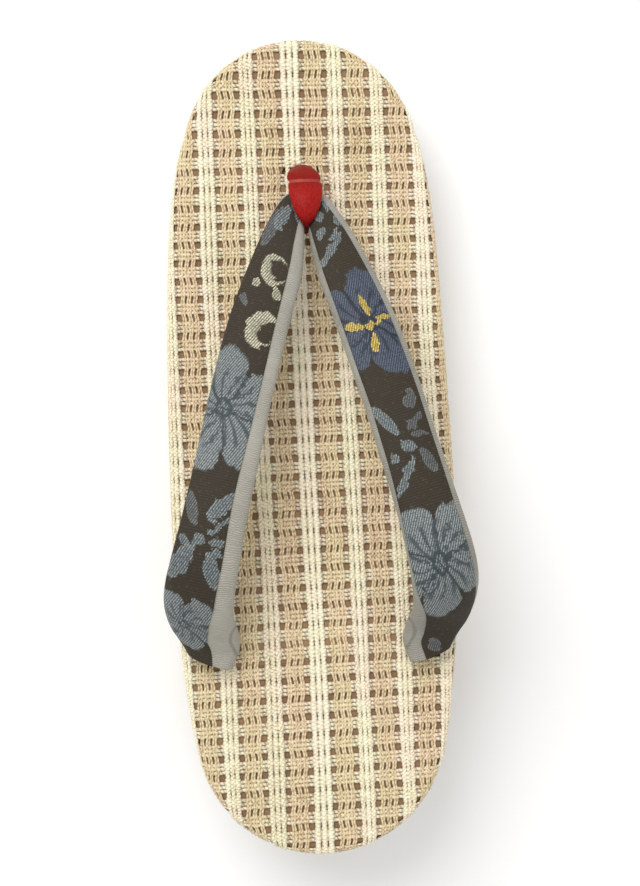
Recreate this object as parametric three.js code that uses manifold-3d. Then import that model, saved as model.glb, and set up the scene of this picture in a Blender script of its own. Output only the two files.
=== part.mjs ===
// Zori: a thick-soled sandal held by a stuffed V strap and a toe thong.
// Millimetres, +Z up, the toe at +Y and the heel at -Y.
// The origin is on the floor, under the middle of the sole.

import * as THREE from 'three';
import { mergeVertices } from 'three/addons/utils/BufferGeometryUtils.js';
import Module from 'manifold-3d';

// Sole outline, seen from above.
const LENGTH = 240;
const HALF_WIDTH = 42.1;
const WIDEST_FROM_TOE = 128;
const TOE_RADIUS = 35.3;
const HEEL_RADIUS = 36.7;
const TOE_ARC_END = 28;
const HEEL_ARC_END = 29;
const OUTLINE_STEPS = 44;

// Heights of the board's top above the floor.
const BALL_HEIGHT = 28;
const HEEL_HEIGHT = 44;
const RAMP_FRONT = 48;
const RAMP_BACK = -62;
const TOE_LIFT = 1.6;

// Thicknesses down through the sole.
const BOARD = 9;
const BOARD_EDGE = 2.6;
const OUTSOLE = 4;
const LIFT = 3;
const GAP = 0.3;

// The outsole's underside.
const BALL_FRONT = 84;
const BALL_BACK = 8;
const ARCH_BACK = -42;
const TOE_SPRING = 6;

// How far the lower pieces stand in from the board's outline.
const CORE_INSET = 0.9;
const CORE_SLOPE = Math.tan(THREE.MathUtils.degToRad(8));
const LIFT_INSET = 6.5;
const LIFT_FRONT = -46;

// Strap and thong.
const STRAP_STEPS = 62;
const STRAP_SIDES = 18;
const FACE_SHARE = 0.6;
const THONG_SIDES = 16;
const FRONT_HOLE = { x: 0, y: 79.3, long: 9.2, wide: 7.4, turn: 0 };
const REAR_HOLE = { x: 32.2, y: -59, long: 11, wide: 6.4, turn: 32 };
const HOLE_DEPTH = 15;
const HOLE_CLEARANCE = 0.7;

// Right side of the strap from the nose to the rear hole. Outer and inner edges
// are given as x, y and height over the board's top, with the stuffed thickness.
const STRAP_ROWS = [
  { ox: 0.0, oy: 74.8, oz: 8.0, ix: 0.0, iy: 63.9, iz: 9.4, thick: 5.4 },
  { ox: 3.8, oy: 74.1, oz: 8.2, ix: 0.35, iy: 63.1, iz: 9.6, thick: 5.4 },
  { ox: 7.1, oy: 71.7, oz: 8.9, ix: 0.6, iy: 61.2, iz: 10.6, thick: 5.5 },
  { ox: 9.9, oy: 67.6, oz: 10.4, ix: 0.7, iy: 58.4, iz: 12.6, thick: 5.6 },
  { ox: 13.1, oy: 61.8, oz: 13.0, ix: 1.0, iy: 54.4, iz: 15.4, thick: 5.8 },
  { ox: 17.0, oy: 53.4, oz: 16.2, ix: 2.2, iy: 47.6, iz: 18.8, thick: 6.0 },
  { ox: 21.2, oy: 44.0, oz: 19.2, ix: 4.9, iy: 38.6, iz: 21.0, thick: 6.3 },
  { ox: 24.8, oy: 34.4, oz: 21.5, ix: 7.7, iy: 29.2, iz: 22.9, thick: 6.6 },
  { ox: 28.0, oy: 24.0, oz: 23.3, ix: 10.6, iy: 18.9, iz: 24.6, thick: 6.8 },
  { ox: 30.8, oy: 13.6, oz: 24.6, ix: 13.5, iy: 8.7, iz: 26.0, thick: 7.0 },
  { ox: 33.5, oy: 2.8, oz: 25.4, ix: 16.1, iy: -2.0, iz: 26.8, thick: 7.1 },
  { ox: 36.4, oy: -8.0, oz: 25.8, ix: 18.8, iy: -12.6, iz: 26.8, thick: 7.2 },
  { ox: 39.4, oy: -18.6, oz: 25.8, ix: 21.3, iy: -23.0, iz: 25.8, thick: 7.3 },
  { ox: 42.3, oy: -28.4, oz: 23.8, ix: 23.2, iy: -32.8, iz: 24.0, thick: 7.4 },
  { ox: 44.2, oy: -36.2, oz: 18.4, ix: 24.6, iy: -40.8, iz: 20.8, thick: 7.5 },
  { ox: 44.6, oy: -42.6, oz: 11.4, ix: 25.2, iy: -47.4, iz: 15.6, thick: 7.6 },
  { ox: 43.4, oy: -48.6, oz: 5.6, ix: 23.7, iy: -53.0, iz: 9.4, thick: 7.8 },
  { ox: 41.2, oy: -53.2, oz: 3.4, ix: 23.2, iy: -57.6, iz: 5.6, thick: 7.6 },
  { ox: 38.6, oy: -56.6, oz: 2.6, ix: 24.8, iy: -61.6, iz: 3.6, thick: 7.0 },
];

// The thong's front strand in the plane x = 0: up from the hole, over the
// strap's nose and down its notch. Heights are over the board's top.
const FRONT_STRAND = [
  { y: 79.3, z: -HOLE_DEPTH + 1, half: 3.9, thick: 6.2 },
  { y: 79.3, z: -1.0, half: 4.2, thick: 6.8 },
  { y: 78.9, z: 3.0, half: 4.7, thick: 6.0 },
  { y: 77.9, z: 7.0, half: 5.0, thick: 4.8 },
  { y: 75.6, z: 10.8, half: 5.1, thick: 4.2 },
  { y: 72.0, z: 13.2, half: 4.9, thick: 4.2 },
  { y: 68.2, z: 14.0, half: 3.9, thick: 3.8 },
  { y: 65.0, z: 13.3, half: 2.3, thick: 3.2 },
  { y: 62.9, z: 10.6, half: 1.3, thick: 3.0 },
  { y: 62.8, z: 7.4, half: 1.4, thick: 3.0 },
  { y: 64.8, z: 4.4, half: 2.0, thick: 3.0 },
  { y: 68.4, z: 3.2, half: 2.6, thick: 3.2 },
];

// The link that joins the strand's end to the stem under the nose.
const LINK = [
  { y: 64.9, z: 3.8, half: 3.0, thick: 5.0 },
  { y: 70.2, z: 3.4, half: 3.6, thick: 5.4 },
  { y: 77.4, z: 3.4, half: 3.6, thick: 5.6 },
];

const wasm = await Module();
wasm.setup();

// Height of the board's top above the floor.
function boardTop(y) {
  const ramp = THREE.MathUtils.smoothstep(-y, -RAMP_FRONT, -RAMP_BACK);
  const toe = THREE.MathUtils.smoothstep(y, BALL_FRONT - 10, LENGTH / 2);
  return BALL_HEIGHT + (HEEL_HEIGHT - BALL_HEIGHT) * ramp + TOE_LIFT * toe;
}

// Height of the outsole's underside above the floor.
function soleBottom(y) {
  const past = Math.max(0, y - BALL_FRONT) / (LENGTH / 2 - BALL_FRONT);
  const arch = THREE.MathUtils.smoothstep(-y, -BALL_BACK, -ARCH_BACK);
  return TOE_SPRING * past * past + (LIFT + GAP) * arch;
}

// Where a wall that slopes in under the board stands at the top of the outsole.
function coreFoot(y) {
  const wall = boardTop(y) - BOARD - soleBottom(y) - OUTSOLE;
  return CORE_INSET + wall * CORE_SLOPE;
}

// Right half of the outline from the toe tip to the heel tip, with its normals.
function halfOutline() {
  const toeArcX = Math.sqrt(TOE_ARC_END * (2 * TOE_RADIUS - TOE_ARC_END));
  const heelArcX = Math.sqrt(HEEL_ARC_END * (2 * HEEL_RADIUS - HEEL_ARC_END));
  const toeCentre = LENGTH / 2 - TOE_RADIUS;
  const heelCentre = HEEL_RADIUS - LENGTH / 2;
  const toeAngle = Math.atan2(TOE_RADIUS - TOE_ARC_END, toeArcX);
  const heelAngle = Math.atan2(HEEL_ARC_END - HEEL_RADIUS, heelArcX);
  const toeSide = LENGTH / 2 - TOE_ARC_END;
  const heelSide = HEEL_ARC_END - LENGTH / 2;
  const widest = LENGTH / 2 - WIDEST_FROM_TOE;
  const path = new THREE.Path();
  path.absarc(0, toeCentre, TOE_RADIUS, Math.PI / 2, toeAngle, true);
  path.bezierCurveTo(toeArcX + 0.6, toeSide - 3, HALF_WIDTH, toeSide - 9, HALF_WIDTH, widest);
  path.bezierCurveTo(HALF_WIDTH, widest - 14, HALF_WIDTH, heelSide + 29, heelArcX, heelSide);
  path.absarc(0, heelCentre, HEEL_RADIUS, heelAngle, -Math.PI / 2, true);
  const points = path.getSpacedPoints(OUTLINE_STEPS);
  return points.map((point, i) => {
    const before = points[Math.max(i - 1, 0)];
    const after = points[Math.min(i + 1, OUTLINE_STEPS)];
    const along = after.clone().sub(before).normalize();
    const normal = new THREE.Vector2(-along.y, along.x);
    const atTip = i === 0 || i === OUTLINE_STEPS;
    if (atTip) normal.set(0, i === 0 ? 1 : -1);
    return { x: atTip ? 0 : point.x, y: point.y, nx: normal.x, ny: normal.y };
  });
}

const outline = halfOutline();

// A closed ring round the outline, with its inset and its height given along y.
function soleRing(inset, height) {
  const right = outline.map(({ x, y, nx, ny }) => {
    const step = inset(y);
    const ringY = y - ny * step;
    return new THREE.Vector3(x - nx * step, ringY, height(ringY));
  });
  const left = right.slice(1, -1).map((p) => new THREE.Vector3(-p.x, p.y, p.z));
  return [...right, ...left.reverse()];
}

// A closed body through rings of equal count. Each end is closed by strips
// between the ring's two halves.
function loft(rings) {
  const count = rings[0].length;
  const positions = rings.flat().flatMap((p) => [p.x, p.y, p.z]);
  const index = [];
  for (let r = 0; r < rings.length - 1; r += 1) {
    for (let i = 0; i < count; i += 1) {
      const a = r * count + i;
      const b = r * count + ((i + 1) % count);
      index.push(a, b, b + count, a, b + count, a + count);
    }
  }
  const last = (rings.length - 1) * count;
  for (let i = 0; i < count / 2; i += 1) {
    const near = (count - i) % count;
    const far = count - i - 1;
    if (far !== i + 1) {
      index.push(0 + i, far, i + 1);
      index.push(last + i, last + i + 1, last + far);
    }
    if (near !== i) {
      index.push(i, near, far);
      index.push(last + i, last + far, last + near);
    }
  }
  return outward(positions, index);
}

// An indexed geometry whose faces point out, whichever way its rings ran.
function outward(positions, index) {
  const geometry = new THREE.BufferGeometry();
  geometry.setAttribute('position', new THREE.Float32BufferAttribute(positions, 3));
  const [a, b, c] = [new THREE.Vector3(), new THREE.Vector3(), new THREE.Vector3()];
  let volume = 0;
  for (let i = 0; i < index.length; i += 3) {
    a.fromArray(positions, index[i] * 3);
    b.fromArray(positions, index[i + 1] * 3);
    c.fromArray(positions, index[i + 2] * 3);
    volume += a.dot(b.cross(c));
  }
  geometry.setIndex(volume < 0 ? index.reverse() : index);
  return geometry;
}

function toSolid(geometry) {
  const bare = geometry.clone();
  bare.deleteAttribute('normal');
  bare.deleteAttribute('uv');
  const merged = mergeVertices(bare, 1e-4);
  return new wasm.Manifold(new wasm.Mesh({
    numProp: 3,
    vertProperties: new Float32Array(merged.attributes.position.array),
    triVerts: new Uint32Array(merged.index.array),
  }));
}

function toGeometry(solid) {
  const mesh = solid.getMesh();
  const geometry = new THREE.BufferGeometry();
  geometry.setAttribute('position', new THREE.BufferAttribute(mesh.vertProperties, 3));
  geometry.setIndex(new THREE.BufferAttribute(mesh.triVerts, 1));
  return geometry;
}

// An oval cutter for a hole, from above the board down to the hole's floor.
function holeCutter({ x, y, long, wide, turn }) {
  const oval = new THREE.Shape();
  const halfLong = long / 2 + HOLE_CLEARANCE;
  const halfWide = wide / 2 + HOLE_CLEARANCE;
  oval.absellipse(0, 0, halfLong, halfWide, 0, 2 * Math.PI, false, 0);
  const options = { depth: HOLE_DEPTH + 5, bevelEnabled: false, curveSegments: 12 };
  const geometry = new THREE.ExtrudeGeometry(oval, options);
  geometry.rotateZ(THREE.MathUtils.degToRad(turn));
  geometry.translate(x, y, boardTop(y) - HOLE_DEPTH);
  return toSolid(geometry);
}

// A copy of a hole on the other side of the sandal.
function mirrored(hole) {
  return { ...hole, x: -hole.x, turn: -hole.turn };
}

function cutHoles(geometry) {
  const holes = [FRONT_HOLE, REAR_HOLE, mirrored(REAR_HOLE)];
  return holes.reduce((solid, hole) => solid.subtract(holeCutter(hole)), toSolid(geometry));
}

// Padded board: straight wall, rounded upper edge, flat across.
function boardGeometry() {
  const rings = [
    soleRing(() => 1.4, (y) => boardTop(y) - BOARD),
    soleRing(() => 0.2, (y) => boardTop(y) - BOARD + 1.2),
  ];
  for (let degrees = 0; degrees <= 90; degrees += 22.5) {
    const angle = THREE.MathUtils.degToRad(degrees);
    const inset = BOARD_EDGE * (1 - Math.cos(angle));
    const drop = BOARD_EDGE * (1 - Math.sin(angle));
    rings.push(soleRing(() => inset, (y) => boardTop(y) - drop));
  }
  return toGeometry(cutHoles(loft(rings)));
}

// Wrapped wedge between the board and the outsole.
function coreGeometry() {
  const foot = (y) => soleBottom(y) + OUTSOLE + GAP;
  const head = (y) => boardTop(y) - BOARD - GAP;
  const rings = [
    soleRing((y) => coreFoot(y) + 0.8, foot),
    soleRing(coreFoot, (y) => foot(y) + 0.8),
    soleRing(() => CORE_INSET, (y) => head(y) - 0.8),
    soleRing(() => CORE_INSET + 0.8, head),
  ];
  return toGeometry(cutHoles(loft(rings)));
}

// Rubber sheet with a softened lower edge.
function outsoleGeometry() {
  return loft([
    soleRing((y) => coreFoot(y) + 0.9, soleBottom),
    soleRing((y) => coreFoot(y) + 0.1, (y) => soleBottom(y) + 0.8),
    soleRing((y) => coreFoot(y) + 0.1, (y) => soleBottom(y) + OUTSOLE),
  ]);
}

// D-shaped plate under the heel.
function liftGeometry() {
  const plate = loft([
    soleRing(() => LIFT_INSET + 0.6, () => 0),
    soleRing(() => LIFT_INSET, () => 0.6),
    soleRing(() => LIFT_INSET, () => LIFT),
  ]);
  const keep = new THREE.BoxGeometry(LENGTH, LENGTH, LENGTH);
  keep.translate(0, LIFT_FRONT - LENGTH / 2, 0);
  return toGeometry(toSolid(plate).intersect(toSolid(keep)));
}

// A point given over the board's top.
function overBoard(x, y, z) {
  return new THREE.Vector3(x, y, boardTop(y) + z);
}

function mirrorRow(row) {
  return { ...row, ox: -row.ox, ix: -row.ix };
}

// One stuffed section between its two edges, with its face on the normal's side.
function strapSection(outer, inner, normal, thick, grow) {
  const centre = outer.clone().add(inner).multiplyScalar(0.5);
  const across = outer.clone().sub(inner);
  const halfWidth = across.length() / 2 + grow;
  across.normalize();
  return Array.from({ length: STRAP_SIDES }, (_, i) => {
    const angle = (i / STRAP_SIDES) * 2 * Math.PI;
    const [cosine, sine] = [Math.cos(angle), Math.sin(angle)];
    const share = sine > 0 ? FACE_SHARE : 1 - FACE_SHARE;
    const reach = Math.sign(cosine) * Math.abs(cosine) ** 0.8 * halfWidth;
    const rise = Math.sign(sine) * Math.abs(sine) ** 0.85 * (thick * share + grow);
    return centre.clone().addScaledVector(across, reach).addScaledVector(normal, rise);
  });
}

// Rings of the tail that turns down into a rear hole.
function tailRings(hole, grow) {
  const turn = THREE.MathUtils.degToRad(hole.turn);
  const side = Math.sign(hole.x);
  const across = new THREE.Vector3(Math.cos(turn), Math.sin(turn), 0).multiplyScalar(side * hole.long / 2);
  const normal = new THREE.Vector3(side * Math.abs(Math.sin(turn)), -Math.cos(turn), 0);
  return [0.8, -HOLE_DEPTH + 1].map((height) => {
    const centre = overBoard(hole.x, hole.y, height);
    const outer = centre.clone().add(across);
    const inner = centre.clone().sub(across);
    const ring = strapSection(outer, inner, normal, hole.wide, grow);
    const shift = normal.clone().multiplyScalar((0.5 - FACE_SHARE) * hole.wide);
    return ring.map((p) => p.add(shift));
  });
}

// The V strap: one stuffed tube from rear hole to rear hole, round its nose.
function strapGeometry(grow) {
  const leftRows = STRAP_ROWS.slice(1).reverse().map(mirrorRow);
  const rows = [...leftRows, ...STRAP_ROWS];
  const outerEdge = new THREE.CatmullRomCurve3(rows.map((r) => overBoard(r.ox, r.oy, r.oz)));
  const innerEdge = new THREE.CatmullRomCurve3(rows.map((r) => overBoard(r.ix, r.iy, r.iz)));
  const stuffing = new THREE.CatmullRomCurve3(rows.map((r) => new THREE.Vector3(r.thick, 0, 0)));
  outerEdge.curveType = 'catmullrom';
  innerEdge.curveType = 'catmullrom';
  stuffing.curveType = 'catmullrom';
  const rings = [];
  for (let i = 0; i <= STRAP_STEPS; i += 1) {
    const t = i / STRAP_STEPS;
    const outer = outerEdge.getPoint(t);
    const inner = innerEdge.getPoint(t);
    const along = outerEdge.getTangent(t).add(innerEdge.getTangent(t)).normalize();
    const across = outer.clone().sub(inner);
    const normal = new THREE.Vector3().crossVectors(along, across).normalize();
    rings.push(strapSection(outer, inner, normal, stuffing.getPoint(t).x, grow));
  }
  const leftTail = tailRings(mirrored(REAR_HOLE), grow).reverse();
  return loft([...leftTail, ...rings, ...tailRings(REAR_HOLE, grow)]);
}

// An oval tube along rows in the plane x = 0.
function strandGeometry(rows, steps) {
  const route = new THREE.CatmullRomCurve3(rows.map((r) => overBoard(0, r.y, r.z)));
  const sizes = new THREE.CatmullRomCurve3(rows.map((r) => new THREE.Vector3(r.half, r.thick / 2, 0)));
  route.curveType = 'catmullrom';
  sizes.curveType = 'catmullrom';
  const rings = [];
  for (let i = 0; i <= steps; i += 1) {
    const t = i / steps;
    const centre = route.getPoint(t);
    const along = route.getTangent(t);
    const size = sizes.getPoint(t);
    const normal = new THREE.Vector3(0, along.z, -along.y);
    rings.push(Array.from({ length: THONG_SIDES }, (_, k) => {
      const angle = (k / THONG_SIDES) * 2 * Math.PI;
      const point = centre.clone().addScaledVector(normal, Math.sin(angle) * size.y);
      point.x += Math.cos(angle) * size.x;
      return point;
    }));
  }
  return loft(rings);
}

// The thong's loop, cut clear of the strap that it holds.
function thongGeometry() {
  const strand = toSolid(strandGeometry(FRONT_STRAND, 39));
  const link = toSolid(strandGeometry(LINK, 8));
  return toGeometry(strand.add(link).subtract(toSolid(strapGeometry(GAP))));
}

function piece(name, geometry, color, roughness) {
  const material = new THREE.MeshStandardMaterial({ color, roughness, metalness: 0 });
  const mesh = new THREE.Mesh(geometry, material);
  mesh.name = name;
  return mesh;
}

const zori = new THREE.Group();
zori.add(piece('outsole', outsoleGeometry(), 0x6b5138, 0.85));
zori.add(piece('heel_lift', liftGeometry(), 0x57432f, 0.85));
zori.add(piece('sole_core', coreGeometry(), 0xe7dcc4, 0.55));
zori.add(piece('top_board', boardGeometry(), 0x6e4a2c, 0.9));
zori.add(piece('strap', strapGeometry(0), 0x3d3730, 0.8));
zori.add(piece('toe_thong', thongGeometry(), 0xb3161c, 0.6));

export default zori;
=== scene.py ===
"""Zori sandal: the woven cover, the stuffed strap, the thong and the sole's finishes."""

import math

import bpy
import numpy as np
from bpy.props import FloatProperty, FloatVectorProperty, PointerProperty
from mathutils import Matrix, Vector


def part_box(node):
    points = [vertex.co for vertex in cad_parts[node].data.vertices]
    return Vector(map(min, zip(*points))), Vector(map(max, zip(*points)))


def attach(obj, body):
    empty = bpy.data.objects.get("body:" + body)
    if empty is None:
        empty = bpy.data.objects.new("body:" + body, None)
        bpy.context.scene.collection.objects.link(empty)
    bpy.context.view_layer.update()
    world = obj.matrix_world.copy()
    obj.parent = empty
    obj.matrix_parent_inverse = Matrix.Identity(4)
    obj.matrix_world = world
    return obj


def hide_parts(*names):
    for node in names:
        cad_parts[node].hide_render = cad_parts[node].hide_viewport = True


bl_info = {
    "name": "Zori sandal",
    "version": (1, 0, 0),
    "blender": (4, 5, 0),
    "location": "View3D > Sidebar > Zori",
    "description": "Builds the cloths, strap and finishes of a zori sandal",
    "category": "Object",
}

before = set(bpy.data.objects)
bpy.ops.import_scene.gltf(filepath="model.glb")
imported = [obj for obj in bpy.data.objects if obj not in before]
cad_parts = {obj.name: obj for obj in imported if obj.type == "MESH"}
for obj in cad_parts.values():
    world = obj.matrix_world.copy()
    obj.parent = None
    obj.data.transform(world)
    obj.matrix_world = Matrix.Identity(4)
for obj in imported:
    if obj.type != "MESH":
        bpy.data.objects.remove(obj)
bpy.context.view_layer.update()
BOARD_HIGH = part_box("top_board")[1]

MM = 0.001

# The right side of the strap from its nose to the rear hole, in millimetres:
# outer edge x, y and height over the board, inner edge the same, and thickness.
STRAP_ROWS = (
    (0.0, 74.8, 8.0, 0.0, 63.9, 9.4, 5.4),
    (3.8, 74.1, 8.2, 0.35, 63.1, 9.6, 5.4),
    (7.1, 71.7, 8.9, 0.6, 61.2, 10.6, 5.5),
    (9.9, 67.6, 10.4, 0.7, 58.4, 12.6, 5.6),
    (13.1, 61.8, 13.0, 1.0, 54.4, 15.4, 5.8),
    (17.0, 53.4, 16.2, 2.2, 47.6, 18.8, 6.0),
    (21.2, 44.0, 19.2, 4.9, 38.6, 21.0, 6.3),
    (24.8, 34.4, 21.5, 7.7, 29.2, 22.9, 6.6),
    (28.0, 24.0, 23.3, 10.6, 18.9, 24.6, 6.8),
    (30.8, 13.6, 24.6, 13.5, 8.7, 26.0, 7.0),
    (33.5, 2.8, 25.4, 16.1, -2.0, 26.8, 7.1),
    (36.4, -8.0, 25.8, 18.8, -12.6, 26.8, 7.2),
    (39.4, -18.6, 25.8, 21.3, -23.0, 25.8, 7.3),
    (42.3, -28.4, 23.8, 23.2, -32.8, 24.0, 7.4),
    (44.2, -36.2, 18.4, 24.6, -40.8, 20.8, 7.5),
    (44.6, -42.6, 11.4, 25.2, -47.4, 15.6, 7.6),
    (43.4, -48.6, 5.6, 23.7, -53.0, 9.4, 7.8),
    (41.2, -53.2, 3.4, 23.2, -57.6, 5.6, 7.6),
    (38.4, -58.4, 2.2, 25.2, -63.6, 3.0, 7.0),
)
FRONT_HOLE = {"x": 0.0, "y": 79.3, "long": 9.2, "wide": 7.4, "turn": 0.0}
REAR_HOLE = {"x": 32.2, "y": -59.0, "long": 11.0, "wide": 6.4, "turn": 32.0}
HOLE_DEPTH = 15.0
FACE_SHARE = 0.6

# Hole column at the left of each tan stripe, where the stripe crosses the toe end.
STRIPES = (-51.1, -38.3, -25.5, -12.7, 0.7, 13.3, 25.5, 37.7, 50.4)
STRIPE_SPAN = 6.75
BUNDLES = (1.43, 3.27, 5.13)

# Heights of the board's top over the floor, in millimetres.
BALL_HEIGHT = 28
HEEL_RISE = 16
TOE_LIFT = 1.6

# Outline, in millimetres: where the round ends stop, from the toe and from the heel,
# and how far behind the toe the sole is widest.
TOE_ARC = 28
HEEL_ARC = 29
WIDEST_FROM_TOE = 128

# Rows of holes: the first, where they become even, and their distance before that.
FIRST_ROW = 114.9
EVEN_FROM = 86.4
TOE_ROWS = 5
TOE_STEP = 5.7

# Yarns, in millimetres: height of the middle over the board, swing up and down in
# the weave, half width, what it loses at a row of holes, and half thickness.
TAN_YARN = {"height": -0.56, "swing": 0.17, "half": 0.425, "drawn": 0.085, "thick": 0.3}
CREAM_PLY = {"height": -0.38, "swing": 0.15, "half": 0.74, "drawn": 0.27, "thick": 0.34}
WEFT_YARN = {"height": -0.62, "swing": 0.17, "half": 0.56, "drawn": 0.02, "thick": 0.3}
PLY_PITCH = 2.3
WEFT_GAP = 1.16
CLOTH_REACH = 134.0
SHORTEST_YARN = 6

# The cloth turns under the board's lower edge with this radius, in millimetres.
TUCK_RADIUS = 1.4

# Cloth in the strap holes, in millimetres: depth under the board's top, thickness,
# reach past the hole, and how far its middle is dished.
HOLE_CLOTH_DROP = 2.3
HOLE_CLOTH_THICK = 0.9
HOLE_CLOTH_REACH = 1.8
HOLE_CLOTH_DISH = 0.5

# Points round the strap's lining and across its brocade, and sections along it.
LINING_SIDES = 48
BROCADE_COLUMNS = 44
STRAP_SECTIONS = 560

# Joins points closer than this, and turns metres into millimetres in a material.
WELD = 0.01 * MM
TO_MM = (1000.0, 1000.0, 1000.0)

# Place of the thong's crease, and of the velvet's fold at each rear end: along the
# strap, across it, and the fold's radius.
THONG_CREASE = 76.4
FOLD_ALONG = 138.0
FOLD_ACROSS = 29.0
FOLD_RADIUS = 5.4

# The camera and the lamp, in metres, with the lens in millimetres and roll in degrees.
CAMERA_PLACE = (-0.043, 0.0095)
CAMERA_AIM = (0.002, 0.0, 0.040)
CAMERA_LENS = 75.95
CAMERA_ROLL = -1.75
LAMP_PLACE = (-0.35, 0.55, 0.9)
LAMP_TURN = (0.35, -0.55, -0.85)
LAMP_SIZE = 0.7
LAMP_WATTS = 7
SKY_STRENGTH = 0.82

# The brocade's figures: kind, place along the strap from its nose (left side is
# negative) and across it from the inner edge, length, width, turn and thread.
FIGURES = (
    ("patch", -5.0, 6.8, 10.8, 4.2, 62, "silver"),
    ("patch", -14.0, 13.6, 13.6, 3.6, -12, "dim"),
    ("patch", -10.0, 11.0, 8.0, 3.4, -24, "silver"),
    ("swirl", -26.0, 9.6, 9.2, 8.4, 6, "pale"),
    ("patch", -31.4, 13.7, 2.6, 2.4, 0, "pale"),
    ("patch", -33.0, 7.4, 4.4, 2.6, 22, "pale"),
    ("patch", -36.6, 16.4, 4.0, 2.2, 34, "dim"),
    ("swirl", -44.4, 9.2, 11.8, 9.0, -14, "pale"),
    ("blossom", -70.0, 14.5, 38.0, 33.0, 8, "silver"),
    ("patch", -98.3, 17.9, 10.0, 3.6, 24, "dim"),
    ("patch", -105.9, 14.9, 4.0, 4.0, 0, "silver"),
    ("patch", -96.3, 9.7, 10.4, 4.4, -39, "silver"),
    ("patch", -101.8, 9.5, 7.6, 2.4, -49, "silver"),
    ("patch", -106.2, 9.4, 4.8, 2.4, 90, "silver"),
    ("patch", -109.2, 9.8, 4.6, 2.8, -80, "silver"),
    ("patch", -112.9, 9.6, 8.0, 4.2, 32, "silver"),
    ("patch", -112.4, 18.7, 12.0, 4.2, -31, "silver"),
    ("patch", -106.8, 18.6, 4.2, 2.5, 49, "silver"),
    ("blossom", -131.5, 15.6, 24.0, 23.0, 30, "silver"),
    ("patch", 5.6, 11.2, 5.8, 2.0, -9, "silver"),
    ("patch", 6.8, 7.3, 3.4, 2.7, 22, "silver"),
    ("patch", 11.9, 12.4, 3.2, 2.6, 31, "silver"),
    ("patch", 12.1, 5.9, 4.0, 3.8, 0, "silver"),
    ("patch", 18.3, 7.3, 12.6, 2.8, -46, "silver"),
    ("blossom", 43.0, 10.2, 35.0, 28.0, 18, "navy"),
    ("patch", 43.6, 10.2, 2.8, 2.8, 0, "gold"),
    ("patch", 37.8, 10.8, 6.4, 2.0, 8, "gold"),
    ("patch", 43.4, 14.6, 2.2, 5.6, 14, "gold"),
    ("patch", 43.0, 6.0, 2.2, 5.4, -12, "gold"),
    ("patch", 49.4, 10.2, 6.2, 2.2, -8, "gold"),
    ("patch", 71.9, 5.7, 11.8, 3.1, 27, "silver"),
    ("patch", 67.5, 14.1, 6.2, 3.8, -19, "dim"),
    ("patch", 74.1, 13.6, 6.8, 2.4, -48, "dim"),
    ("patch", 78.2, 14.1, 5.2, 1.9, 82, "dim"),
    ("patch", 81.1, 10.1, 3.8, 3.2, 78, "silver"),
    ("patch", 82.9, 4.9, 3.1, 2.8, 60, "silver"),
    ("patch", 88.8, 6.7, 12.0, 3.1, -41, "silver"),
    ("patch", 86.2, 14.5, 8.6, 3.4, 20, "dim"),
    ("blossom", 112.4, 10.2, 34.0, 31.0, -6, "silver"),
    ("patch", 143.0, 10.0, 6.0, 4.2, 10, "dim"),
)


def size_field(label, description, default):
    return FloatProperty(name=label, description=description, default=default, unit="LENGTH")


def colour_field(label, description, default):
    return FloatVectorProperty(
        name=label, description=description, default=default, subtype="COLOR", size=3)


class ZoriSizes(bpy.types.PropertyGroup):
    """Sizes that a user would change."""

    half_width: size_field("Half width", "Widest half of the sole", BOARD_HIGH.x)
    toe_radius: size_field("Toe radius", "Radius of the toe's round end", 35.3 * MM)
    heel_radius: size_field("Heel radius", "Radius of the heel's round end", 36.7 * MM)
    board_edge: size_field("Board edge", "Radius of the board's upper edge", 2.6 * MM)
    board_depth: size_field("Board depth", "Thickness of the top board", 9.0 * MM)
    cloth_depth: size_field("Cloth depth", "Depth of the woven cover over its backing", 1.22 * MM)
    row_step: size_field("Row step", "Distance between rows of holes in the weave", 5.34 * MM)
    brocade: size_field("Brocade", "Thickness of the brocade face", 0.45 * MM)
    camera_height: size_field("Camera height", "Height of the camera over the floor", 0.583)


class ZoriColours(bpy.types.PropertyGroup):
    """Colours that a user would change."""

    cream: colour_field("Cream yarn", "Ropes of the cream stripes", (0.88, 0.81, 0.605))
    tan: colour_field("Tan yarn", "Warps of the tan stripes", (0.69, 0.555, 0.345))
    weft: colour_field("Weft yarn", "Yarns across the board", (0.73, 0.62, 0.41))
    backing: colour_field("Backing", "Brown cloth under the weave", (0.39, 0.25, 0.13))
    ground: colour_field("Brocade ground", "Dark ground of the brocade", (0.056, 0.044, 0.028))
    silver: colour_field("Silver thread", "Blue-grey thread of the blossoms", (0.345, 0.37, 0.36))
    lining: colour_field("Lining", "Grey velvet of the strap's lining", (0.40, 0.38, 0.32))
    red: colour_field("Thong red", "Velvet of the toe thong", (0.25, 0.0045, 0.0045))
    wrap: colour_field("Core wrap", "Leatherette round the core", (0.80, 0.73, 0.58))
    rubber: colour_field("Rubber", "Outsole and heel lift", (0.20, 0.13, 0.08))


# ---- Shapes shared by the pieces ------------------------------------------------


def sizes():
    return bpy.context.scene.zori_sizes


def colours():
    return bpy.context.scene.zori_colours


def smoothstep(x, low, high):
    t = np.clip((np.asarray(x, float) - low) / (high - low), 0, 1)
    return t * t * (3 - 2 * t)


def board_top(y):
    """Height of the board's top above the floor at y, in millimetres."""
    ramp = smoothstep(-np.asarray(y, float), -48, 62)
    toe = smoothstep(y, 74, 120)
    return BALL_HEIGHT + HEEL_RISE * ramp + TOE_LIFT * toe


def bezier(a, b, c, d, count):
    """Points on a curve from a to d, drawn towards b and c."""
    t = np.linspace(0, 1, count)[:, None]
    a, b, c, d = (np.array(p, float) for p in (a, b, c, d))
    return a * (1 - t) ** 3 + 3 * b * t * (1 - t) ** 2 + 3 * c * t * t * (1 - t) + d * t ** 3


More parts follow.
